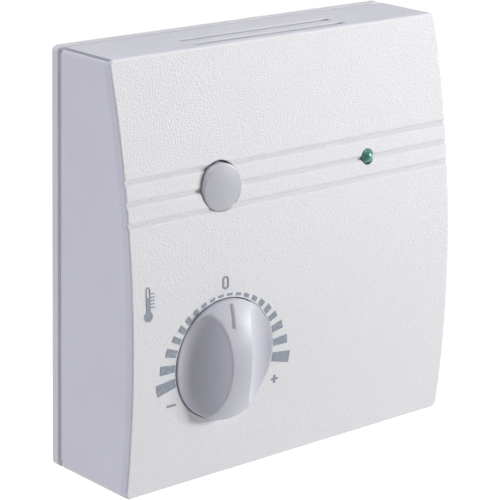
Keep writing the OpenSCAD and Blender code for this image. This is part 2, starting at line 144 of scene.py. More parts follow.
class Shell:
    """Collects faces whose corners carry their own normals, and welds corners at the same place."""

    def __init__(self):
        self.index, self.points, self.faces, self.normals, self.slots = {}, [], [], [], []

    def corner(self, p):
        key = (round(p[0], 4), round(p[1], 4), round(p[2], 4))
        if key not in self.index:
            self.index[key] = len(self.points)
            self.points.append([float(v) for v in p])
        return self.index[key]

    def add(self, points, normals, slot=0):
        """One face with a normal for each corner, turned to face the way they point. All are (x, z, d)."""
        points = [np.asarray(p, float) for p in points]
        ids = [self.corner(p) for p in points]
        keep = [i for i in range(len(ids)) if ids[i] != ids[i - 1]]
        if len(keep) < 3 or len(set(ids[i] for i in keep)) < 3:
            return
        area = sum((np.cross(points[keep[i]] - points[keep[0]], points[keep[i + 1]] - points[keep[0]])
                    for i in range(1, len(keep) - 1)), np.zeros(3))
        outward = sum((np.asarray(normals[i]) for i in keep), np.zeros(3))
        if np.dot(area, outward) < 0:
            keep = keep[::-1]
        self.faces.append([ids[i] for i in keep])
        self.normals += [np.asarray(normals[i], float) for i in keep]
        self.slots.append(slot)

    def strip(self, a, b, na, nb, slot=0):
        """Faces between two closed rows of points."""
        for i in range(len(a)):
            j = (i + 1) % len(a)
            self.add([a[i], a[j], b[j], b[i]], [na[i], na[j], nb[j], nb[i]], slot)

    def build(self, name, materials):
        mesh = bpy.data.meshes.new(name)
        mesh.from_pydata([tuple(p) for p in place(self.points)], [], self.faces)
        n = np.array(self.normals)
        n = np.stack([n[:, 0], -n[:, 2], n[:, 1]], 1)
        n /= np.maximum(np.linalg.norm(n, axis=1, keepdims=True), 1e-12)
        mesh.polygons.foreach_set("material_index", self.slots)
        mesh.polygons.foreach_set("use_smooth", [True] * len(self.faces))
        mesh.normals_split_custom_set([tuple(v) for v in n])
        for m in materials:
            mesh.materials.append(m)
        mesh.update()
        return new_object(name, mesh)


def ring(cx, cz, r, n):
    a = np.arange(n) * 2 * math.pi / n
    return np.stack([cx + r * np.cos(a), cz + r * np.sin(a)], 1)


def triangulate(loops, points, keep):
    """Triangles of a flat region. Loops are (line, closed) pairs kept as edges, points are loose, and keep()
    says which triangle centres belong to the region. Returns the flat points and the triangles."""
    flat, edges = [], []
    for line, closed in loops:
        n, first = len(line), len(flat)
        flat += [Vector((float(p[0]), float(p[1]))) for p in line]
        edges += [(first + i, first + (i + 1) % n) for i in range(n if closed else n - 1)]
    flat += [Vector((float(p[0]), float(p[1]))) for p in points]
    out = geometry.delaunay_2d_cdt(flat, edges, [], 0, 1e-5, False)
    xy = np.array([(v.x, v.y) for v in out[0]])
    tris = np.array([f for f in out[2] if len(f) == 3])
    centre = xy[tris].mean(1)
    return xy, tris[keep(centre)]


def lathe(shell, cx, cz, profile, n=96, slot=0, sharp=35):
    """Turns a profile of (radius, depth) points round an axis along the depth. Corners sharper than `sharp`
    degrees stay sharp."""
    p = np.asarray(profile, float)
    seg = p[1:] - p[:-1]
    normal = np.stack([seg[:, 1], -seg[:, 0]], 1)
    normal /= np.maximum(np.linalg.norm(normal, axis=1, keepdims=True), 1e-12)
    limit = math.cos(math.radians(sharp))
    a = np.arange(n) * 2 * math.pi / n
    ca, sa = np.cos(a), np.sin(a)

    def joined(i, j):
        if 0 <= j < len(normal) and np.dot(normal[i], normal[j]) > limit:
            return normal[i] + normal[j]
        return normal[i]

    for i in range(len(seg)):
        n0, n1 = joined(i, i - 1), joined(i, i + 1)
        for k in range(n):
            m = (k + 1) % n
            pts, nrm = [], []
            for (r, d), nn, q in ((p[i], n0, k), (p[i], n0, m), (p[i + 1], n1, m), (p[i + 1], n1, k)):
                pts.append((cx + r * ca[q], cz + r * sa[q], d))
                nrm.append((nn[0] * ca[q], nn[0] * sa[q], nn[1]))
            shell.add(pts, nrm, slot)


def away_from(points, x, y):
    return np.hypot(points[:, 0] - x, points[:, 1] - y)


def arc(cx, cy, r, a0, a1, n):
    """Points of a flat arc, angles in degrees."""
    return [(cx + r * math.cos(math.radians(a0 + (a1 - a0) * i / n)),
             cy + r * math.sin(math.radians(a0 + (a1 - a0) * i / n))) for i in range(n + 1)]


# ---- The shape of the case ----

def face_depth(z, inset=0.0):
    return CASE_D - FRONT_R + np.sqrt((FRONT_R - inset) ** 2 - (z - APEX_Z) ** 2)


def groove(z):
    """How far the three grooves sink into the front."""
    total = np.zeros_like(z)
    for middle in GROOVES:
        t = np.clip((z - middle) / GROOVE_HALF, -1, 1)
        total = total + GROOVE_DEEP * np.cos(t * math.pi / 2) ** 2
    return total


def side_half(z):
    """Half the width of the case where the side meets the front's rounding."""
    return HALF - DRAFT * (face_depth(z) - groove(z) - EDGE)


def front_half(z):
    """The same for one height, as a plain number."""
    return float(side_half(np.float64(z)))


def inside_box(x, y, half_x, half_y, r):
    """Distance inside a rounded rectangle round the origin, and the outward direction."""
    qx, qy = np.abs(x) - (half_x - r), np.abs(y) - (half_y - r)
    ox, oy = np.maximum(qx, 0), np.maximum(qy, 0)
    length = np.hypot(ox, oy)
    t = r - length - np.minimum(np.maximum(qx, qy), 0)
    gx = np.where(length > 1e-9, ox / np.maximum(length, 1e-9), (qx > qy) * 1.0)
    gy = np.where(length > 1e-9, oy / np.maximum(length, 1e-9), (qx <= qy) * 1.0)
    return t, gx * np.sign(x), gy * np.sign(y)


def outline_distance(x, z):
    """Distance inside the rounded outline of the front, and the outward direction."""
    return inside_box(x, z, side_half(z), HALF, CORNER)


HOLES = (  # x, z, radius, rounding of the lip, number of points round it
    (-CONTROL_X, BUTTON_Z, HOLE_R, 0.2, 96),
    (CONTROL_X, BUTTON_Z, LED_HOLE_R, 0.12, 48),
    (KNOB_X, KNOB_Z, RECESS_R, 0.22, 160),
)


def rounding(t, r):
    """How far a rounded edge of radius r has dropped at a distance t inside it, and the sine of its tilt."""
    t = np.clip(t, 0, r)
    return r - np.sqrt(np.maximum(r * r - (r - t) ** 2, 0)), (r - t) / r


def front_surface(xz):
    """Depth and outward normal of the front at flat points (x, z)."""
    x, z = xz[:, 0], xz[:, 1]
    depth = face_depth(z) - groove(z)
    step = 1e-3
    slope = (face_depth(z + step) - groove(z + step) - face_depth(z - step) + groove(z - step)) / (2 * step)
    normal = np.stack([np.zeros_like(x), -slope, np.ones_like(x)], 1)
    normal /= np.linalg.norm(normal, axis=1, keepdims=True)
    t, gx, gz = outline_distance(x, z)
    edges = [(t, EDGE, gx, gz)]
    for hx, hz, r, lip, _ in HOLES:
        away = np.maximum(np.hypot(x - hx, z - hz), 1e-9)
        edges.append((away - r, lip, (hx - x) / away, (hz - z) / away))
    for t, r, gx, gz in edges:
        drop, sine = rounding(t, r)
        depth = depth - drop
        near = (t < r)[:, None]
        cosine = np.sqrt(np.maximum(1 - sine ** 2, 0))
        out = np.stack([gx, gz, np.zeros_like(x)], 1)
        normal = np.where(near, normal * cosine[:, None] + out * sine[:, None], normal)
    return depth, normal / np.linalg.norm(normal, axis=1, keepdims=True)


def outward_at(rim):
    """The outward direction at points on the outline itself."""
    _, gx, gz = outline_distance(rim[:, 0] * JUST_INSIDE, rim[:, 1] * JUST_INSIDE)
    return np.stack([gx, gz], 1)


def groove_lines():
    """Heights at which the grooves' sections are sampled."""
    return sorted(g + GROOVE_HALF * i / 7 for g in GROOVES for i in range(-7, 8))


def side_heights():
    """Heights of the points along the left and right edges."""
    plain = np.linspace(CORNER - HALF, HALF - CORNER, 36)
    lines = groove_lines()
    clear = 0.6
    plain = [z for z in plain if min(abs(z - g) for g in lines) > clear]
    return sorted(plain + lines)


SEAM_PROFILE = (  # share of the way round the corner, share of the seam's depth
    (0, 0), (0.15, 0), (0.3, 0), (0.42, 0), (0.5, 0), (0.6, 0.6), (0.68, 1), (0.76, 0.6), (0.86, 0), (1, 0),
)


def seamed_arc(cx, cy, r, a0, a1, steps, seam):
    """A corner's arc with a fine V-shaped seam where it leaves the top or bottom of the case."""
    if seam == 0:
        return arc(cx, cy, r, a0, a1, steps)
    upright = a0 % 180 == 0                 # does the arc start at the side or at the top?
    pts = []
    for share, drop in SEAM_PROFILE:
        a = math.radians(a0 + (a1 - a0) * (share if upright else 1 - share))
        pts.append((cx + (r - drop * seam) * math.cos(a), cy + (r - drop * seam) * math.sin(a)))
    return pts if upright else pts[::-1]


def outline(inset_fn, half_z, corner, heights, steps=6, seam=0.0):
    """Closed outline of a section of the case, with the index ranges of its top and bottom stretches.
    inset_fn(z) is the half width at a height."""
    zc = half_z - corner
    wide, wide_low = inset_fn(zc) - corner, inset_fn(-zc) - corner
    pts = [(inset_fn(z), z) for z in heights]           # right side, upwards
    pts += seamed_arc(wide, zc, corner, 0, 90, steps, seam)[1:]
    top = (len(pts) - 1, len(pts) + len(TOP_X) - 2)
    pts += [(wide * s, half_z) for s in TOP_X[::-1][1:]]
    pts += seamed_arc(-wide, zc, corner, 90, 180, steps, seam)[1:]
    pts += [(-inset_fn(z), z) for z in heights[::-1][1:]]
    pts += seamed_arc(-wide_low, -zc, corner, 180, 270, steps, seam)[1:]
    low = (len(pts) - 1, len(pts) + len(TOP_X) - 2)
    pts += [(wide_low * s, -half_z) for s in TOP_X[1:]]
    pts += seamed_arc(wide_low, -zc, corner, 270, 360, steps, seam)[1:-1]
    return np.array(pts), top, low


def inside_outline(inset_fn, half_z):
    def keep(c):
        wide = np.array([inset_fn(z) for z in c[:, 1]])
        return (np.abs(c[:, 0]) < wide) & (np.abs(c[:, 1]) < half_z)
    return keep


def outside_holes(c, holes):
    ok = np.ones(len(c), bool)
    for hx, hz, r in holes:
        ok &= away_from(c, hx, hz) > r
    return ok


def vent_loop(middle, grow, n=4):
    """Outline of a vent slot, grown outwards, as (x, d) points."""
    hx, hd, r = VENT_HALF + grow, VENT_W / 2 + grow, VENT_ROUND + grow
    pts = []
    for side_x, side_d, a in ((1, 1, 0), (-1, 1, 90), (-1, -1, 180), (1, -1, 270)):
        pts += arc(side_x * (hx - r), middle + side_d * (hd - r), r, a, a + 90, n)
    return pts


def vent_distance(x, d, middle):
    """Distance outside a vent slot and the direction towards it."""
    t, gx, gd = inside_box(x, d - middle, VENT_HALF, VENT_W / 2, VENT_ROUND)
    return -t, -gx, -gd


def add_vented_wall(shell, front_row, rear_row, z, sign, lips):
    """The flat top or bottom wall between a front and a rear row of (x, d) points, with its vent slots. The
    slots' edges are rounded where lips is true, and the wall faces inwards where it is false."""
    loops = [(list(front_row) + list(rear_row)[::-1], True)]
    for middle in VENT_DEPTHS:
        for share in (0,) + (VENT_LIP_STEPS if lips else ()):
            loops.append((vent_loop(middle, share * VENT_LIP), True))
    low, high = min(d for _, d in rear_row), max(d for _, d in front_row)

    def keep(c):
        ok = (c[:, 1] > low) & (c[:, 1] < high)
        for middle in VENT_DEPTHS:
            ok &= vent_distance(c[:, 0], c[:, 1], middle)[0] > 0
        return ok

    xd, tris = triangulate(loops, [], keep)
    x, d = xd[:, 0], xd[:, 1]
    height = np.full(len(x), abs(z))
    normal = np.tile([0.0, 1.0, 0.0], (len(x), 1))
    if lips:
        for middle in VENT_DEPTHS:
            u, gx, gd = vent_distance(x, d, middle)
            drop, sine = rounding(u, VENT_LIP)
            height = height - drop
            cosine = np.sqrt(np.maximum(1 - sine ** 2, 0))
            tilt = np.stack([gx, np.zeros_like(x), gd], 1) * sine[:, None]
            normal = np.where((u < VENT_LIP)[:, None], normal * cosine[:, None] + tilt, normal)
    pts = np.stack([x, sign * height, d], 1)
    normal[:, 1] *= sign
    if not lips:
        normal = -normal
    for tri in tris:
        shell.add(pts[tri], normal[tri], PLAIN)


def add_vent_walls(shell, sign):
    """The walls of the vent slots through the top or bottom wall."""
    for middle in VENT_DEPTHS:
        loop = np.array(vent_loop(middle, 0))
        outside = middle + (loop[:, 1] - middle) * JUST_OUTSIDE
        _, gx, gd = vent_distance(loop[:, 0] * JUST_OUTSIDE, outside, middle)
        normal = np.stack([gx, np.zeros_like(gx), gd], 1)
        outer = np.stack([loop[:, 0], np.full(len(loop), sign * (HALF - VENT_LIP)), loop[:, 1]], 1)
        inner = np.stack([loop[:, 0], np.full(len(loop), sign * (HALF - WALL)), loop[:, 1]], 1)
        shell.strip(outer, inner, normal, normal, PLAIN)


def with_depth(xz, depth):
    return np.stack([xz[:, 0], xz[:, 1], np.broadcast_to(depth, len(xz))], 1)


def add_walls(shell, front, rear, top, low, slot, inward=False, seam_shade_slot=None):
    """Side walls between the front loop and the rear loop of (x, z, d) points, without the vented stretches.
    The faces of the corner seams take their own material slot, a darker grey painted in as shade, where one
    is given."""
    sunk = outline_distance(front[:, 0], front[:, 1])[0] > SUNK
    xz = front[:, :2]
    tangent = np.roll(xz, -1, 0) - np.roll(xz, 1, 0)
    rise = np.full(len(xz), DRAFT) * np.linalg.norm(tangent, axis=1)
    normal = np.stack([tangent[:, 1], -tangent[:, 0], rise], 1)
    if inward:
        normal = -normal
    n = len(front)
    for i in range(n):
        if top[0] <= i < top[1] or low[0] <= i < low[1]:
            continue
        j = (i + 1) % n
        here = seam_shade_slot if seam_shade_slot is not None and (sunk[i] or sunk[j]) else slot
        shell.add([front[i], front[j], rear[j], rear[i]], [normal[i], normal[j], normal[j], normal[i]], here)


def sunk_share(angle):
    """How far a quarter-round edge has come inwards at an angle of its arc, as a share of its radius."""
    return 1 - math.cos(math.radians(angle))


def front_lines(rim):
    """The lines that the front's triangles keep as edges: rounded edges, holes with their lips, grooves."""
    loops = [(rim, True)]
    for angle in EDGE_ANGLES:
        loops.append((rim - EDGE * sunk_share(angle) * outward_at(rim), True))
    for hx, hz, r, lip, n in HOLES:
        for angle in LIP_ANGLES:
            loops.append((ring(hx, hz, r + lip * sunk_share(angle), n), True))
    for z in groove_lines():
        half = front_half(z) - EDGE * 1.02
        loops.append((np.stack([np.linspace(-half, half, 41), np.full(41, z)], 1), False))
    return loops


def front_grid():
    """Loose points over the plain stretches of the front, clear of its edges, holes and grooves."""
    xs, zs = np.linspace(-40, 40, 33), np.linspace(-40.5, 40.5, 55)
    grooved = (10.9, 21)
    grid = np.array([(x, z) for x in xs for z in zs])
    t, _, _ = outline_distance(grid[:, 0], grid[:, 1])
    ok = (t > EDGE * 1.5) & ((grid[:, 1] < grooved[0]) | (grid[:, 1] > grooved[1]))
    for hx, hz, r, lip, _ in HOLES:
        ok &= away_from(grid, hx, hz) > r + lip * 2
    return grid[ok]


def inner_depth(z):
    """Depth of the inner skin behind the front."""
    return face_depth(z, WALL)


def add_front(shell, rim):
    """The outer front with its rounded edges and holes. Returns its flat points and its points."""
    inside = inside_outline(front_half, HALF)
    holes = [(hx, hz, r) for hx, hz, r, _, _ in HOLES]
    xz, tris = triangulate(front_lines(rim), front_grid(), lambda c: inside(c) & outside_holes(c, holes))
    depth, normal = front_surface(xz)
    pts = with_depth(xz, depth)
    t, _, _ = outline_distance(xz[:, 0], xz[:, 1])
    for tri in tris:
        # The rounded side edges of the front take the painted shade of the edge band.
        side_edge = np.abs(xz[tri, 0]).mean() > HALF - CORNER
        edge_slot = EDGE_SHADE if side_edge else PLAIN
        shell.add(pts[tri], normal[tri], TEXTURED if t[tri].mean() > EDGE * 0.45 else edge_slot)
    return xz, pts


def add_tube_wall(shell, hx, hz, a, b):
    """The wall of a round hole between two rings of points."""
    inwards = np.stack([hx - a[:, 0], hz - a[:, 1], np.zeros(len(a))], 1)
    shell.strip(a, b, inwards, inwards, PLAIN)


def add_hole_walls(shell, xz, pts):
    """The walls of the front's holes and the floor of the knob's recess. Returns the rings where the holes
    open through the inner skin."""
    def hole_wall(hx, hz, r, floor):
        on = np.where(np.abs(away_from(xz, hx, hz) - r) < 1e-3)[0]
        on = on[np.argsort(np.arctan2(xz[on, 1] - hz, xz[on, 0] - hx))]
        bottom = with_depth(pts[on][:, :2], floor(pts[on][:, 1]))
        add_tube_wall(shell, hx, hz, pts[on], bottom)
        return bottom

    rings = [hole_wall(hx, hz, r, inner_depth) for hx, hz, r, _, _ in HOLES[:2]]
    hx, hz, r, _, _ = HOLES[2]
    recess = hole_wall(hx, hz, r, lambda z: np.full_like(z, RECESS_FLOOR))
    shaft_ring = ring(hx, hz, SHAFT_HOLE_R, 48)

    def on_floor(c):
        return (away_from(c, hx, hz) > SHAFT_HOLE_R) & (away_from(c, hx, hz) < r)

    floor_xz, floor_tris = triangulate([(recess[:, :2], True), (shaft_ring, True)], [], on_floor)
    floor_pts = with_depth(floor_xz, RECESS_FLOOR)
    for tri in floor_tris:
        shell.add(floor_pts[tri], [(0, 0, 1)] * 3, PLAIN)
    opening = with_depth(shaft_ring, inner_depth(shaft_ring[:, 1]))
    add_tube_wall(shell, hx, hz, with_depth(shaft_ring, RECESS_FLOOR), opening)
    return rings + [opening]


def widened(rim, grow, straight):
    """An outline with its left and right sides moved outwards and the rest stretched to match."""
    share = np.clip(np.abs(rim[:, 0]) / straight, 0, 1)
    return np.stack([rim[:, 0] + np.sign(rim[:, 0]) * grow * share, rim[:, 1]], 1)


def add_outer_walls(shell, rim, top, low):
    """The four outer walls and their rear bevel. Returns the row of points at the rear edge."""
    rim_depth, _ = front_surface(rim)
    front = with_depth(rim, rim_depth)

    def outer_row(depth, inset=0.0):
        """The outer outline at a depth behind the front."""
        xz = widened(rim, DRAFT * (rim_depth - depth), HALF - CORNER)
        return with_depth(xz - inset * outward_at(rim), depth)

    behind = outer_row(rim_depth - BAND)
    last = outer_row(COVER_BACK + REAR_BEVEL)
    rear = outer_row(COVER_BACK, REAR_BEVEL)
    # The strip behind the front's edges and the corner seams are painted shade, in darker greys.
    add_walls(shell, front, behind, top, low, EDGE_SHADE, seam_shade_slot=SEAM_SHADE)
    add_walls(shell, behind, last, top, low, PLAIN, seam_shade_slot=SEAM_SHADE)
    for (i, j), sign in ((top, 1), (low, -1)):
        front_row, rear_row = front[i:j + 1][:, [0, 2]], last[i:j + 1][:, [0, 2]]
        add_vented_wall(shell, front_row, rear_row, sign * HALF, sign, True)
    outward = np.append(outward_at(rim), np.zeros((len(rim), 1)), 1)
    shell.strip(last, rear, outward, outward - np.array([0, 0, 1.0]), PLAIN)
    return rear


def add_inner_skin(shell, openings):
    """The inner skin and its walls. Returns the row of points at its rear edge."""
    def inner_half(z):
        return float(HALF - WALL - DRAFT * face_depth(np.float64(z), WALL))

    inner_z = HALF - WALL
    heights = list(np.linspace(INNER_CORNER - inner_z, inner_z - INNER_CORNER, 30))
    rim, top, low = outline(inner_half, inner_z, INNER_CORNER, heights, 3)
    holes = [(hx, hz, r) for hx, hz, r, _, _ in HOLES[:2]] + [(KNOB_X, KNOB_Z, SHAFT_HOLE_R)]
    grid = np.array([(x, z) for x in np.linspace(-36, 36, 13) for z in np.linspace(-37, 37, 27)])
    grid = grid[outside_holes(grid, [(hx, hz, r + 0.8) for hx, hz, r in holes])]
    inside = inside_outline(inner_half, inner_z)
    loops = [(rim, True)] + [(opening[:, :2], True) for opening in openings]
    xz, tris = triangulate(loops, grid, lambda c: inside(c) & outside_holes(c, holes))
    pts = with_depth(xz, inner_depth(xz[:, 1]))
    rise = xz[:, 1] - APEX_Z
    slope = -rise / np.sqrt((FRONT_R - WALL) ** 2 - rise ** 2)
    normal = np.stack([np.zeros(len(xz)), slope, -np.ones(len(xz))], 1)
    for tri in tris:
        shell.add(pts[tri], normal[tri], PLAIN)
    front = with_depth(rim, inner_depth(rim[:, 1]))
    rear_xz = widened(rim, DRAFT * (front[:, 2] - COVER_BACK), inner_z - INNER_CORNER)
    rear = with_depth(rear_xz, COVER_BACK)
    add_walls(shell, front, rear, top, low, PLAIN, inward=True)
    for (i, j), sign in ((top, 1), (low, -1)):
        front_row, rear_row = front[i:j + 1][:, [0, 2]], rear[i:j + 1][:, [0, 2]]
        add_vented_wall(shell, front_row, rear_row, sign * inner_z, sign, False)
        add_vent_walls(shell, sign)
    return rear


def add_rear_edge(shell, outer, inner):
    """The flat edge that closes the outer and the inner walls at the back."""
    def on_edge(c):
        return (np.abs(c[:, 0]) > HALF - WALL - DRAFT * COVER_BACK) | (np.abs(c[:, 1]) > HALF - WALL)

    xz, tris = triangulate([(outer[:, :2], True), (inner[:, :2], True)], [], on_edge)
    pts = with_depth(xz, COVER_BACK)
    for tri in tris:
        shell.add(pts[tri], [(0, 0, -1)] * 3, PLAIN)


def add_inner_fittings(shell):
    """Screw bosses, the guide tubes of the button and the light, and two ribs."""
    def skin(z):
        return float(inner_depth(np.float64(z))) + BITE

    for bx in (-BOSS_X, BOSS_X):
        for bz in BOSS_LEVELS:
            bore_end = (BOSS_BORE, BOSS_BORE_END)
            profile = [bore_end, (BOSS_BORE, BOSS_BACK + SOFT), (BOSS_BORE + SOFT, BOSS_BACK),
                       (BOSS_R - SOFT, BOSS_BACK), (BOSS_R, BOSS_BACK + SOFT), (BOSS_R, skin(bz)),
                       (POLE, skin(bz)), (POLE, BOSS_BORE_END), bore_end]
            lathe(shell, bx, bz, profile, 32, PLAIN)
    end = skin(BUTTON_Z)
    for cx, r_in, r_out, back in TUBES:
        profile = [(r_in, end), (r_in, back + SOFT), (r_in + SOFT, back), (r_out - SOFT, back),
                   (r_out, back + SOFT), (r_out, end), (r_in, end)]
        lathe(shell, cx, BUTTON_Z, profile, 48, PLAIN)
    for bz in RIB_LEVELS:
        add_rib(shell, bz, skin(bz))


def make_cover(materials):
    """The front cover: outer skin with its rounded edges and holes, inner skin, walls and fittings."""
    shell = Shell()
    rim, top, low = outline(front_half, HALF, CORNER, side_heights(), seam=SEAM_DEEP)
    xz, pts = add_front(shell, rim)
    openings = add_hole_walls(shell, xz, pts)
    outer_rear = add_outer_walls(shell, rim, top, low)
    inner_rear = add_inner_skin(shell, openings)
    add_rear_edge(shell, outer_rear, inner_rear)
    add_inner_fittings(shell)
    obj = shell.build("cover_shell", materials)
    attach(obj, "front")
    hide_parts("front_cover")


def add_rib(shell, z, front):
    """A stiffening rib along x with a softened free edge."""
    section = [(-RIB_HALF, front), (-RIB_HALF, RIB_BACK + SOFT), (-RIB_HALF + SOFT, RIB_BACK),
               (RIB_HALF - SOFT, RIB_BACK), (RIB_HALF, RIB_BACK + SOFT), (RIB_HALF, front)]
    for (s0, d0), (s1, d1) in zip(section, section[1:] + section[:1]):
        shell.add([(-RIB_X, z + s0, d0), (-RIB_X, z + s1, d1), (RIB_X, z + s1, d1), (RIB_X, z + s0, d0)],
                  [(0, d1 - d0, s0 - s1)] * 4, PLAIN)
    for sign in (-1, 1):
        shell.add([(sign * RIB_X, z + s, d) for s, d in section], [(sign, 0, 0)] * len(section), PLAIN)


# ---- Knob ----

POINTER_FOOT = 0.1      # widths over which the knob's surfaces blend into each other
POINTER_RIDGE = 0.14
SCOOP_BLEND = 0.32
RIM_BLEND = 0.25

# Distances at which the knob's face has rows of points: inside the rim, beside the edges of the scoops and
# the pointer, and from the middle of the grip
RIM_ROWS = (0, 0.015, 0.05, 0.1, 0.17, 0.27, 0.45)
SCOOP_ROWS = (-0.36, -0.22, -0.12, -0.04, 0.04, 0.12, 0.22, 0.36)
POINTER_ROWS = (-0.12, -0.06, -0.02, 0.02, 0.06, 0.12)
GRIP_ROWS = (2.2, 2.32, 2.42, 2.5, 2.58, 2.66, 2.76, 2.88, 3.04, 3.24, 3.5, 3.9)


def smooth_max(a, b, k):
    """The larger of two values, blended where they differ by less than k."""
    h = np.clip(0.5 + 0.5 * (a - b) / k, 0, 1)
    return b * (1 - h) + a * h + k * h * (1 - h)


def pointer_half(z):
    """Half the width of the pointer at a distance above the knob's axis."""
    share = (z - POINTER_LOW) / (POINTER_END - POINTER_LOW)
    return POINTER_WIDE + share * (POINTER_TIP - POINTER_WIDE)


def knob_solid(x, z, h):
    """Negative inside the knob, positive outside. h is the height above the fullest point of the case."""
    dome = np.sqrt(x * x + z * z + (h - KNOB_H + DOME_R) ** 2) - DOME_R
    scoop = SCOOP_R - np.hypot(np.abs(x) - SCOOP_X, h - SCOOP_H)
    rim = np.hypot(x, z) - KNOB_R
    # The pointer: a wedge that stands out of the dome and narrows towards the rim
    wedge = np.maximum(np.maximum(np.abs(x) - pointer_half(z), POINTER_LOW - z), z - POINTER_END)
    raised = smooth_max(dome - POINTER_HIGH, wedge, POINTER_RIDGE)
    dome = -smooth_max(-dome, -raised, POINTER_FOOT)
    return smooth_max(smooth_max(dome, scoop, SCOOP_BLEND), rim, RIM_BLEND)


def knob_height(x, z):
    """Height of the knob's surface over flat points, found by halving."""
    low, high = np.full_like(x, -1.5), np.full_like(x, KNOB_H + 0.3)
    for _ in range(40):
        mid = (low + high) / 2
        inside = knob_solid(x, z, mid) < 0
        low, high = np.where(inside, mid, low), np.where(inside, high, mid)
    return (low + high) / 2


def knob_normal(x, z, h, step=2e-3):
    slopes = []
    for a, b, c in np.eye(3) * step:
        slopes.append(knob_solid(x + a, z + b, h + c) - knob_solid(x - a, z - b, h - c))
    n = np.stack(slopes, 1)
    return n / np.maximum(np.linalg.norm(n, axis=1, keepdims=True), 1e-9)


def scoop_edge(sign_x, offset):
    """The line where a scoop cuts the dome, moved sideways by an offset, as one open line of (x, z)."""
    near = SCOOP_X - SCOOP_R
    fan_x = 8.5             # the offsets spread out from this point of the scoop
    xs = np.concatenate([np.linspace(near + 0.1, 3.4, 30), np.linspace(3.5, 7.0, 26)])
    floor = SCOOP_H - np.sqrt(np.maximum(SCOOP_R ** 2 - (xs - SCOOP_X) ** 2, 0))
    zz = DOME_R ** 2 - xs ** 2 - (floor - KNOB_H + DOME_R) ** 2
    ok = zz > 0
    xs, zs = xs[ok], np.sqrt(zz[ok])
    line = np.concatenate([np.stack([xs, -zs], 1)[::-1], np.stack([xs, zs], 1)])
    away = line - np.array([[fan_x, 0.0]])
    away /= np.linalg.norm(away, axis=1, keepdims=True)
    return (line + offset * away) * np.array([[sign_x, 1]])


def add_knob_back(shell, edge):
    """The knob's rear face with the bore for the shaft and two cored pockets."""
    bore = ring(KNOB_X, KNOB_Z, SHAFT_R + BORE_GAP, 40)
    pockets = []
    for s in (-1, 1):
        z0, z1 = sorted((KNOB_Z + s * POCKET_LOW, KNOB_Z + s * POCKET_HIGH))
        x0, x1 = KNOB_X - POCKET_HALF, KNOB_X + POCKET_HALF
        pockets.append(np.array([(x0, z0), (x1, z0), (x1, z1), (x0, z1)]))

    def keep(c):
        ok = away_from(c, KNOB_X, KNOB_Z) > SHAFT_R
        for p in pockets:
            ok &= ~((c[:, 0] > p[0, 0]) & (c[:, 0] < p[1, 0]) & (c[:, 1] > p[0, 1]) & (c[:, 1] < p[2, 1]))
        return ok

    xz, tris = triangulate([(edge, True), (bore, True)] + [(p, True) for p in pockets], [], keep)
    pts = with_depth(xz, KNOB_BACK)
    for tri in tris:
        shell.add(pts[tri], [(0, 0, -1)] * 3)
    inward = np.stack([KNOB_X - bore[:, 0], KNOB_Z - bore[:, 1], np.zeros(len(bore))], 1)
    top = with_depth(bore, SHAFT_TOP + 0.2)
    shell.strip(with_depth(bore, KNOB_BACK), top, inward, inward)
    shell.add(top, [(0, 0, -1)] * len(top))
    for p in pockets:
        under = np.sqrt((DOME_R - KNOB_WALL) ** 2 - away_from(p, KNOB_X, KNOB_Z) ** 2)
        roof = with_depth(p, CASE_D + KNOB_H - DOME_R + under)
        floor = with_depth(p, KNOB_BACK)
        middle = np.append(p.mean(0), 0)
        for i in range(4):
            j = (i + 1) % 4
            side = (floor[i] + floor[j]) / 2
            n = np.array([middle[0] - side[0], middle[1] - side[1], 0])
            shell.add([floor[i], floor[j], roof[j], roof[i]], [n] * 4)
        shell.add(roof, [(0, 0, -1)] * 4)


def knob_lines():
    """The lines that the triangles of the knob's face keep as edges, round the knob's axis."""
    loops = [(ring(0, 0, KNOB_R - t, 180), True) for t in RIM_ROWS]
    for s in (-1, 1):
        for offset in SCOOP_ROWS:
            line = scoop_edge(s, offset)
            ok = (away_from(line, 0, 0) < KNOB_R - 0.5) & (np.abs(line[:, 0]) > 1.9)
            loops.append((line[ok], False))
        for x in GRIP_ROWS:
            loops.append((np.stack([np.full(25, s * x), np.linspace(-8, 8, 25)], 1), False))
    for grow in POINTER_ROWS:
        zs = np.linspace(POINTER_LOW - grow, POINTER_END + grow, 16)
        half = np.maximum(pointer_half(zs) + grow, 0.02)
        line = np.concatenate([np.stack([-half, zs], 1)[::-1], np.stack([half, zs], 1)])
        loops.append((line[away_from(line, 0, 0) < KNOB_R - 0.03], False))
    return loops


def make_knob(material):
    """The knob: domed face with its scoops and pointer, rim, rear bevel and rear face."""
    shell = Shell()
    steps = np.linspace(-11.7, 11.7, 53)
    grid = np.array([(x, z) for x in steps for z in steps])
    grid = grid[away_from(grid, 0, 0) < KNOB_R - 0.6]
    xz, tris = triangulate(knob_lines(), grid, lambda c: away_from(c, 0, 0) < KNOB_R)
    x, z = xz[:, 0], xz[:, 1]
    shrink = np.minimum(1, (KNOB_R - 2e-4) / np.maximum(np.hypot(x, z), 1e-9))
    h = knob_height(x * shrink, z * shrink)
    normal = knob_normal(x * shrink, z * shrink, h)
    pts = np.stack([x + KNOB_X, z + KNOB_Z, h + CASE_D], 1)
    for tri in tris:
        shell.add(pts[tri], normal[tri])
    on = np.where(np.abs(np.hypot(x, z) - KNOB_R) < 1e-3)[0]
    on = on[np.argsort(np.arctan2(z[on], x[on]))]
    rim = pts[on]
    out = np.stack([x[on], z[on], np.zeros(len(on))], 1)
    tilted = out - np.array([0, 0, KNOB_R])
    low = with_depth(rim[:, :2], KNOB_BACK + KNOB_BEVEL)
    rear_xz = np.stack([x[on], z[on]], 1) * (KNOB_R - KNOB_BEVEL) / KNOB_R + [KNOB_X, KNOB_Z]
    shell.strip(rim, low, out, out)
    shell.strip(low, with_depth(rear_xz, KNOB_BACK), tilted, tilted)
    add_knob_back(shell, rear_xz)
    obj = shell.build("knob_grip", [material])
    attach(obj, "knob")
    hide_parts("setpoint_knob")


# ---- Button and light ----

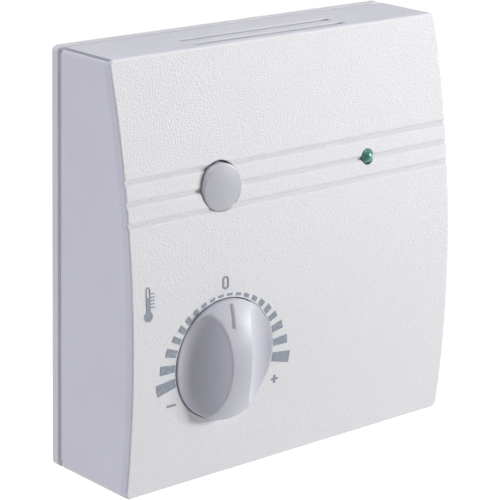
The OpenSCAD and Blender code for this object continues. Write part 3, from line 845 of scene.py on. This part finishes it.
def make_button(material):
    """The button cap: crowned face, rounded edge, skirt with its flange, and the post for the switch."""
    shell = Shell()
    top, edge, crown = 23.7, 0.28, 0.45
    face_r = BUTTON_R - edge
    radii = [face_r - face_r * i / 8 for i in range(9)]
    face = [(r, top - crown * (r / BUTTON_R) ** 2) for r in radii]
    profile = [(POLE, top)] + face[::-1][1:] + arc(face_r, face[0][1] - edge, edge, 90, 0, 6)[1:]
    soft, flange, flange_front, flange_rear = 0.1, HOLE_R + 0.75, 17.7, 16.9
    bore, roof, post, post_end = BUTTON_R - 0.9, 21.9, 1.2, 18.6
    profile += [(BUTTON_R, flange_front + 2 * soft), (BUTTON_R + soft, flange_front),
                (flange - soft, flange_front), (flange, flange_front - soft),
                (flange, flange_rear + soft), (flange - soft, flange_rear),
                (bore + soft, flange_rear), (bore, flange_rear + soft), (bore, roof), (post, roof),
                (post, post_end + soft), (post - soft, post_end), (POLE, post_end)]
    lathe(shell, -CONTROL_X, BUTTON_Z - BUTTON_SAG, profile, 96)
    obj = shell.build("push_button", [material])
    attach(obj, "button")
    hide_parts("button_cap")


def make_lens(material):
    """The light's lens: a dome on a cylinder with a flange."""
    shell = Shell()
    r, tip, flange, flange_front, back = 1.56, 23.45, 1.9, 18.9, 18.1
    soft, bevel = 0.1, 0.08
    profile = [(POLE, tip)] + arc(0, tip - r, r, 90, 0, 18)[1:]
    profile += [(r, flange_front + soft), (r + bevel, flange_front), (flange - bevel, flange_front),
                (flange, flange_front - soft), (flange, back + soft), (flange - bevel, back), (POLE, back)]
    lathe(shell, CONTROL_X, BUTTON_Z, profile, 64)
    lens = shell.build("light_lens", [material])
    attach(lens, "front")
    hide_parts("status_led")


def make_light_core(material):
    """The metal cup and the post inside the lens, as (radius, depth) profiles."""
    shell = Shell()
    cup = [(POLE, 20.9), (0.3, 20.95), (0.5, 21.35), (0.56, 21.35), (0.45, 20.6), (0.25, 20.3), (0.25, 18.4),
           (POLE, 18.4)]
    post = [(POLE, 20.7), (0.18, 20.65), (0.2, 18.4), (POLE, 18.4)]
    lathe(shell, CONTROL_X - 0.35, BUTTON_Z, cup, 32)
    lathe(shell, CONTROL_X + 0.85, BUTTON_Z, post, 24)
    core = shell.build("light_core", [material])
    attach(core, "front")


# ---- Materials ----

def srgb(r, g, b):
    """A colour given as 0 to 255 screen values, as linear light."""
    def lin(v):
        v = v / 255
        return v / 12.92 if v <= 0.04045 else ((v + 0.055) / 1.055) ** 2.4
    return (lin(r), lin(g), lin(b), 1.0)


def fill(node, **values):
    """Sets a node's inputs. An underscore in a keyword stands for a space."""
    for key, value in values.items():
        node.inputs[key.replace("_", " ")].default_value = value


class Paint:
    """A node material with helpers for the usual layers, in object coordinates (metres)."""

    def __init__(self, name, colour, roughness, metallic=0.0, specular=0.5):
        self.mat = bpy.data.materials.new(name)
        self.mat.use_nodes = True
        self.tree = self.mat.node_tree
        self.bsdf = self.tree.nodes["Principled BSDF"]
        fill(self.bsdf, Base_Color=colour, Roughness=roughness, Metallic=metallic)
        fill(self.bsdf, Specular_IOR_Level=specular)
        self.colour = colour
        self.coords = self.node("ShaderNodeTexCoord").outputs["Object"]
        self.normal = None

    def node(self, kind, **values):
        made = self.tree.nodes.new(kind)
        for key, value in values.items():
            setattr(made, key, value)
        return made

    def link(self, a, b):
        self.tree.links.new(a, b)

    def noise(self, size_mm, detail=2.0, rough=0.5, stretch=(1, 1, 1)):
        """A noise value whose features are about size_mm across."""
        mapping = self.node("ShaderNodeMapping")
        fill(mapping, Scale=[s * 1000 / size_mm for s in stretch])
        self.link(self.coords, mapping.inputs["Vector"])
        tex = self.node("ShaderNodeTexNoise")
        fill(tex, Scale=1.0, Detail=detail, Roughness=rough)
        self.link(mapping.outputs["Vector"], tex.inputs["Vector"])
        return tex.outputs["Fac"]

    def remap(self, value, low, high, to_low=0.0, to_high=1.0):
        tex = self.node("ShaderNodeMapRange")
        fill(tex, From_Min=low, From_Max=high, To_Min=to_low, To_Max=to_high)
        self.link(value, tex.inputs["Value"])
        return tex.outputs["Result"]

    def math(self, op, a, b):
        tex = self.node("ShaderNodeMath", operation=op)
        for i, v in enumerate((a, b)):
            if isinstance(v, (int, float)):
                tex.inputs[i].default_value = v
            else:
                self.link(v, tex.inputs[i])
        return tex.outputs["Value"]

    def along(self, direction):
        """How far a point lies along a direction, in metres."""
        tex = self.node("ShaderNodeVectorMath", operation="DOT_PRODUCT")
        tex.inputs[1].default_value = direction
        self.link(self.coords, tex.inputs[0])
        return tex.outputs["Value"]

    def mix_colour(self, factor, a, b):
        tex = self.node("ShaderNodeMix", data_type="RGBA")
        self.link(factor, tex.inputs["Factor"])
        for key, v in ((6, a), (7, b)):
            if isinstance(v, tuple):
                tex.inputs[key].default_value = v
            else:
                self.link(v, tex.inputs[key])
        return tex.outputs[2]

    def vary_colour(self, factor, other):
        """The base colour drifts towards another one where factor is high."""
        self.link(self.mix_colour(factor, self.colour, other), self.bsdf.inputs["Base Color"])

    def vary_roughness(self, factor, low, high):
        self.link(self.remap(factor, 0, 1, low, high), self.bsdf.inputs["Roughness"])

    def bump(self, height, strength, distance_mm):
        """Adds relief on top of any relief that is there already."""
        tex = self.node("ShaderNodeBump")
        fill(tex, Strength=strength, Distance=distance_mm * MM)
        self.link(height, tex.inputs["Height"])
        if self.normal is not None:
            self.link(self.normal, tex.inputs["Normal"])
        self.normal = tex.outputs["Normal"]
        self.link(self.normal, self.bsdf.inputs["Normal"])


def shade(colour, k):
    return tuple(min(1.0, c * k) for c in colour[:3]) + (1.0,)


def moulded(name, colour, roughness, grain_mm=0.5, grain=0.03, specular=0.5):
    """Smooth moulded plastic: slow colour drift, faint flow marks and a fine grain."""
    p = Paint(name, colour, roughness, specular=specular)
    p.vary_colour(p.remap(p.noise(14, 3), 0.35, 0.65), shade(colour, 0.965))
    p.vary_roughness(p.noise(5, 3), max(0.05, roughness - 0.05), roughness + 0.07)
    p.bump(p.noise(grain_mm, 2), 0.5, grain)
    return p.mat


def stippled(name, colour, roughness, specular=0.4):
    """The front's spark-eroded texture: rounded bumps a few tenths of a millimetre across. Handling has
    polished the lower part, so the relief is deeper towards the top."""
    p = Paint(name, colour, roughness, specular=specular)
    coarse = p.noise(0.3, 1.5, 0.45, (1.15, 1.15, 0.85))
    fine = p.noise(0.17, 1.0, 0.5)
    split = p.node("ShaderNodeSeparateXYZ")
    p.link(p.coords, split.inputs["Vector"])
    worn_z, fresh_z = -20 * MM, 34 * MM
    relief = p.remap(split.outputs["Z"], worn_z, fresh_z, 1.2, 3.2)
    height = p.math("ADD", p.remap(coarse, 0.3, 0.7), p.math("MULTIPLY", fine, 0.35))
    p.vary_colour(p.remap(coarse, 0.35, 0.65, 0.0, 1.0), shade(colour, 0.955))
    p.vary_roughness(p.noise(6, 2), roughness - 0.04, roughness + 0.06)
    p.bump(p.math("MULTIPLY", height, relief), 0.5, 0.045)
    return p.mat


WHITE = srgb(239, 239, 242)
cover_front = stippled("cover_front_stipple", WHITE, 0.55)
cover_side = moulded("cover_side_satin", srgb(222, 222, 231), 0.42, 0.35, 0.012)
# Painted shade: a darker grey for the fine corner seams, standing in for the shade that falls into them.
seam_shade_grey = moulded("painted_seam_shade", srgb(172, 172, 184), 0.7, 0.35, 0.012)
# Painted shade: a darker grey for the strip along the front's side edges.
edge_shade_grey = moulded("edge_painted_shade", srgb(214, 214, 225), 0.5, 0.35, 0.012)
base_white = moulded("base_plate_satin", srgb(223, 223, 229), 0.45, 0.4, 0.012)
knob_grey = moulded("knob_satin_gloss", srgb(206, 206, 216), 0.39, 0.3, 0.004, 0.3)
button_grey = moulded("button_satin", srgb(205, 205, 213), 0.3, 0.3, 0.004)


def printed(name, colour, thin):
    """Ink printed over the stippled front. It thins out where the texture sinks away from the pad."""
    p = Paint(name, colour, 0.55)
    pits = p.noise(0.24, 1.5, 0.45)
    p.vary_colour(p.remap(pits, 0.48, 0.66), thin)
    p.vary_roughness(p.noise(2, 2), 0.5, 0.62)
    p.bump(pits, 0.5, 0.09)
    return p.mat


def make_lens_material():
    p = Paint("light_green_epoxy", srgb(88, 162, 140), 0.2)
    fill(p.bsdf, Transmission_Weight=0.08, IOR=1.52)
    p.vary_colour(p.remap(p.noise(0.6, 2), 0.3, 0.7), srgb(68, 136, 118))
    p.bump(p.noise(0.5, 1), 0.2, 0.003)
    return p.mat


def metal(name, colour, roughness, streak=(1, 1, 1), scratch_mm=0.2):
    p = Paint(name, colour, roughness, metallic=1.0)
    p.vary_colour(p.remap(p.noise(3, 3), 0.35, 0.65), shade(colour, 0.82))
    p.vary_roughness(p.noise(scratch_mm, 2, 0.5, streak), max(0.08, roughness - 0.1), roughness + 0.12)
    p.bump(p.noise(scratch_mm, 2, 0.5, streak), 0.3, 0.004)
    return p.mat


PIN_PITCH = 2.54        # the tracks' pattern repeats with the pins


def laminate():
    """Green solder mask with the copper tracks showing through as a slightly lighter relief."""
    p = Paint("board_solder_mask", srgb(22, 92, 48), 0.3)
    mapping = p.node("ShaderNodeMapping")
    fill(mapping, Scale=[1000 / PIN_PITCH] * 3)
    p.link(p.coords, mapping.inputs["Vector"])
    tracks = p.node("ShaderNodeTexBrick")
    fill(tracks, Scale=1.0, Mortar_Size=0.09, Brick_Width=3.0, Row_Height=0.5)
    swap = p.node("ShaderNodeSeparateXYZ")
    join = p.node("ShaderNodeCombineXYZ")
    p.link(mapping.outputs["Vector"], swap.inputs["Vector"])
    p.link(swap.outputs["X"], join.inputs["X"])
    p.link(swap.outputs["Z"], join.inputs["Y"])
    p.link(join.outputs["Vector"], tracks.inputs["Vector"])
    weave = p.noise(0.5, 2)
    p.vary_colour(tracks.outputs["Fac"], srgb(46, 128, 70))
    p.vary_roughness(p.noise(2, 2), 0.22, 0.38)
    p.bump(tracks.outputs["Fac"], 0.6, 0.03)
    p.bump(weave, 0.2, 0.01)
    return p.mat


# ---- Light, floor and camera ----

def area_light(name, at, size, power, colour):
    """A rectangular light that faces the origin."""
    data = bpy.data.lights.new(name, "AREA")
    data.shape = "RECTANGLE"
    data.size, data.size_y = size
    data.energy = power
    data.color = colour
    obj = new_object(name, data)
    obj.location = at
    obj.rotation_mode = "QUATERNION"
    obj.rotation_quaternion = (Vector((0, 0, 0)) - Vector(at)).to_track_quat("-Z", "Y")


SKY_LOW = 0.25          # the world's brightness at the horizon and overhead
SKY_TOP = 0.06
FLOOR_NEAR = 0.2        # the floor's own glow around the case and in the bright patch behind it
FLOOR_FAR = 1.0
AWAY = (0.656, 0.755, 0.0)      # the direction in which the bright patch lies
PATCH_AWAY = (0.1, 1.1)         # where it fades in, in metres
PATCH_BESIDE = (0.6, 1.3)       # and fades out to both sides
SKY_FADE = (0.02, 0.3)          # heights between which the sky fades
FLOOR_HALF = 14.0
FLOOR_Z = -0.6
LIGHTS = (  # name, place, size, power, colour
    ("key_right", (0.73, -0.49, 0.15), (0.24, 0.24), 7.6, (1.0, 1.0, 1.0)),
    ("fill_left", (-0.75, 0.2, 0.0), (0.5, 0.7), 1.83, (0.92, 0.91, 1.0)),
    ("top", (0.0, 0.05, 0.8), (0.6, 0.5), 5.1, (1.0, 1.0, 1.0)),
    ("front_left", (-0.85, -0.24, 0.0), (0.4, 0.6), 1.3, (0.91, 0.91, 1.0)),
)


def make_stage():
    """A pale floor far below with a bright patch behind the case, and a world that fades upwards."""
    world = bpy.data.worlds.new("studio")
    world.use_nodes = True
    tree = world.node_tree
    back = tree.nodes["Background"]
    coords = tree.nodes.new("ShaderNodeTexCoord")
    split = tree.nodes.new("ShaderNodeSeparateXYZ")
    fade = tree.nodes.new("ShaderNodeMapRange")
    fade.interpolation_type = "SMOOTHSTEP"
    fill(fade, From_Min=SKY_FADE[0], From_Max=SKY_FADE[1], To_Min=SKY_LOW, To_Max=SKY_TOP)
    tree.links.new(coords.outputs["Generated"], split.inputs["Vector"])
    tree.links.new(split.outputs["Z"], fade.inputs["Value"])
    tree.links.new(fade.outputs["Result"], back.inputs["Strength"])
    fill(back, Color=(1, 1, 1, 1))
    bpy.context.scene.world = world

    mesh = bpy.data.meshes.new("floor")
    corners = [(x * FLOOR_HALF, y * FLOOR_HALF, FLOOR_Z) for x, y in ((-1, -1), (1, -1), (1, 1), (-1, 1))]
    mesh.from_pydata(corners, [], [(0, 1, 2, 3)])
    floor = new_object("floor", mesh)
    p = Paint("floor_white", (0.8, 0.8, 0.8, 1), 0.8)
    fill(p.bsdf, Emission_Color=(1, 1, 1, 1))
    behind = p.remap(p.along(AWAY), *PATCH_AWAY)
    beside = p.math("ABSOLUTE", p.along((AWAY[1], -AWAY[0], 0.0)), 0.0)
    patch = p.math("MULTIPLY", behind, p.remap(beside, *PATCH_BESIDE, 1.0, 0.0))
    p.link(p.remap(patch, 0.0, 1.0, FLOOR_NEAR, FLOOR_FAR), p.bsdf.inputs["Emission Strength"])
    mesh.materials.append(p.mat)
    for light in LIGHTS:
        area_light(*light)


CAMERA_AT = (-0.2851, -0.3313, 0.1256)
CAMERA_TURN = (41.550, 16.665, 1.417)       # yaw, pitch and roll in degrees
CAMERA_LENS = 159.885


def make_camera():
    """A camera at the photograph's angle, aimed by its yaw to the right, pitch down and roll."""
    data = bpy.data.cameras.new("camera")
    data.sensor_width = 36.0
    data.lens = CAMERA_LENS
    data.clip_start, data.clip_end = 0.05, 60.0
    cam = new_object("camera", data)
    yaw, pitch, roll = (math.radians(a) for a in CAMERA_TURN)
    ahead = Vector((math.sin(yaw), math.cos(yaw), 0))
    right = Vector((math.cos(yaw), -math.sin(yaw), 0))
    up = Vector((0, 0, 1))
    look = ahead * math.cos(pitch) - up * math.sin(pitch)
    up2 = up * math.cos(pitch) + ahead * math.sin(pitch)
    x_axis = right * math.cos(roll) + up2 * math.sin(roll)
    y_axis = up2 * math.cos(roll) - right * math.sin(roll)
    turn = Matrix((x_axis, y_axis, -look)).transposed().to_4x4()
    turn.translation = Vector(CAMERA_AT)
    cam.matrix_world = turn
    bpy.context.scene.camera = cam


def paint_nodes():
    """Materials for the CAD nodes that stay visible. Returns the tin, which the light's core shares."""
    steel = metal("zinc_plated_steel", srgb(196, 198, 200), 0.3)
    tin = metal("bright_tin", srgb(214, 214, 216), 0.22)
    brass = metal("stamped_brass", srgb(214, 180, 100), 0.28)
    black = moulded("black_polyamide", srgb(28, 28, 30), 0.45, 0.3, 0.01)
    epoxy = moulded("chip_moulding", srgb(34, 34, 36), 0.6, 0.15, 0.02)
    board = laminate()
    table = {
        "base_plate": base_white,
        "terminal_block": moulded("terminal_green", srgb(40, 120, 66), 0.4),
        "pot_wafer": moulded("phenolic_brown", srgb(120, 84, 52), 0.5),
        "pot_track": moulded("carbon_black", srgb(24, 24, 24), 0.7),
        "switch_plunger": moulded("plunger_red", srgb(160, 50, 40), 0.4),
        "temperature_sensor": moulded("sensor_epoxy", srgb(50, 70, 140), 0.25),
        "smoothing_capacitors": moulded("capacitor_sleeve", srgb(30, 40, 80), 0.25),
        "relay": moulded("relay_case", srgb(214, 150, 60), 0.35),
        "chip_capacitors": moulded("chip_ceramic", srgb(180, 150, 110), 0.5),
        "scale_print": printed("scale_ink", srgb(145, 153, 166), srgb(173, 180, 190)),
    }
    shared = (
        (board, "terminal_board circuit_board"),
        (steel, "terminal_board_screws terminal_screws board_screws pot_housing pot_shaft"),
        (tin, "pot_terminals switch_dome led_leads sensor_leads microcontroller_pins"),
        (brass, "terminal_clamps header_pins pot_wiper"),
        (black, "socket_strip pin_header switch_body led_spacer"),
        (epoxy, "microcontroller voltage_regulator chip_resistors"),
    )
    for material, names in shared:
        table.update((name, material) for name in names.split())
    for name, material in table.items():
        slots = nodes[name].data.materials
        for i in range(len(slots)):
            slots[i] = material
    return tin


make_camera()
make_stage()
tin_metal = paint_nodes()
make_cover([cover_front, cover_side, edge_shade_grey, seam_shade_grey])
make_knob(knob_grey)
make_button(button_grey)
make_lens(make_lens_material())
make_light_core(tin_metal)

bpy.context.scene.view_settings.view_transform = "Standard"
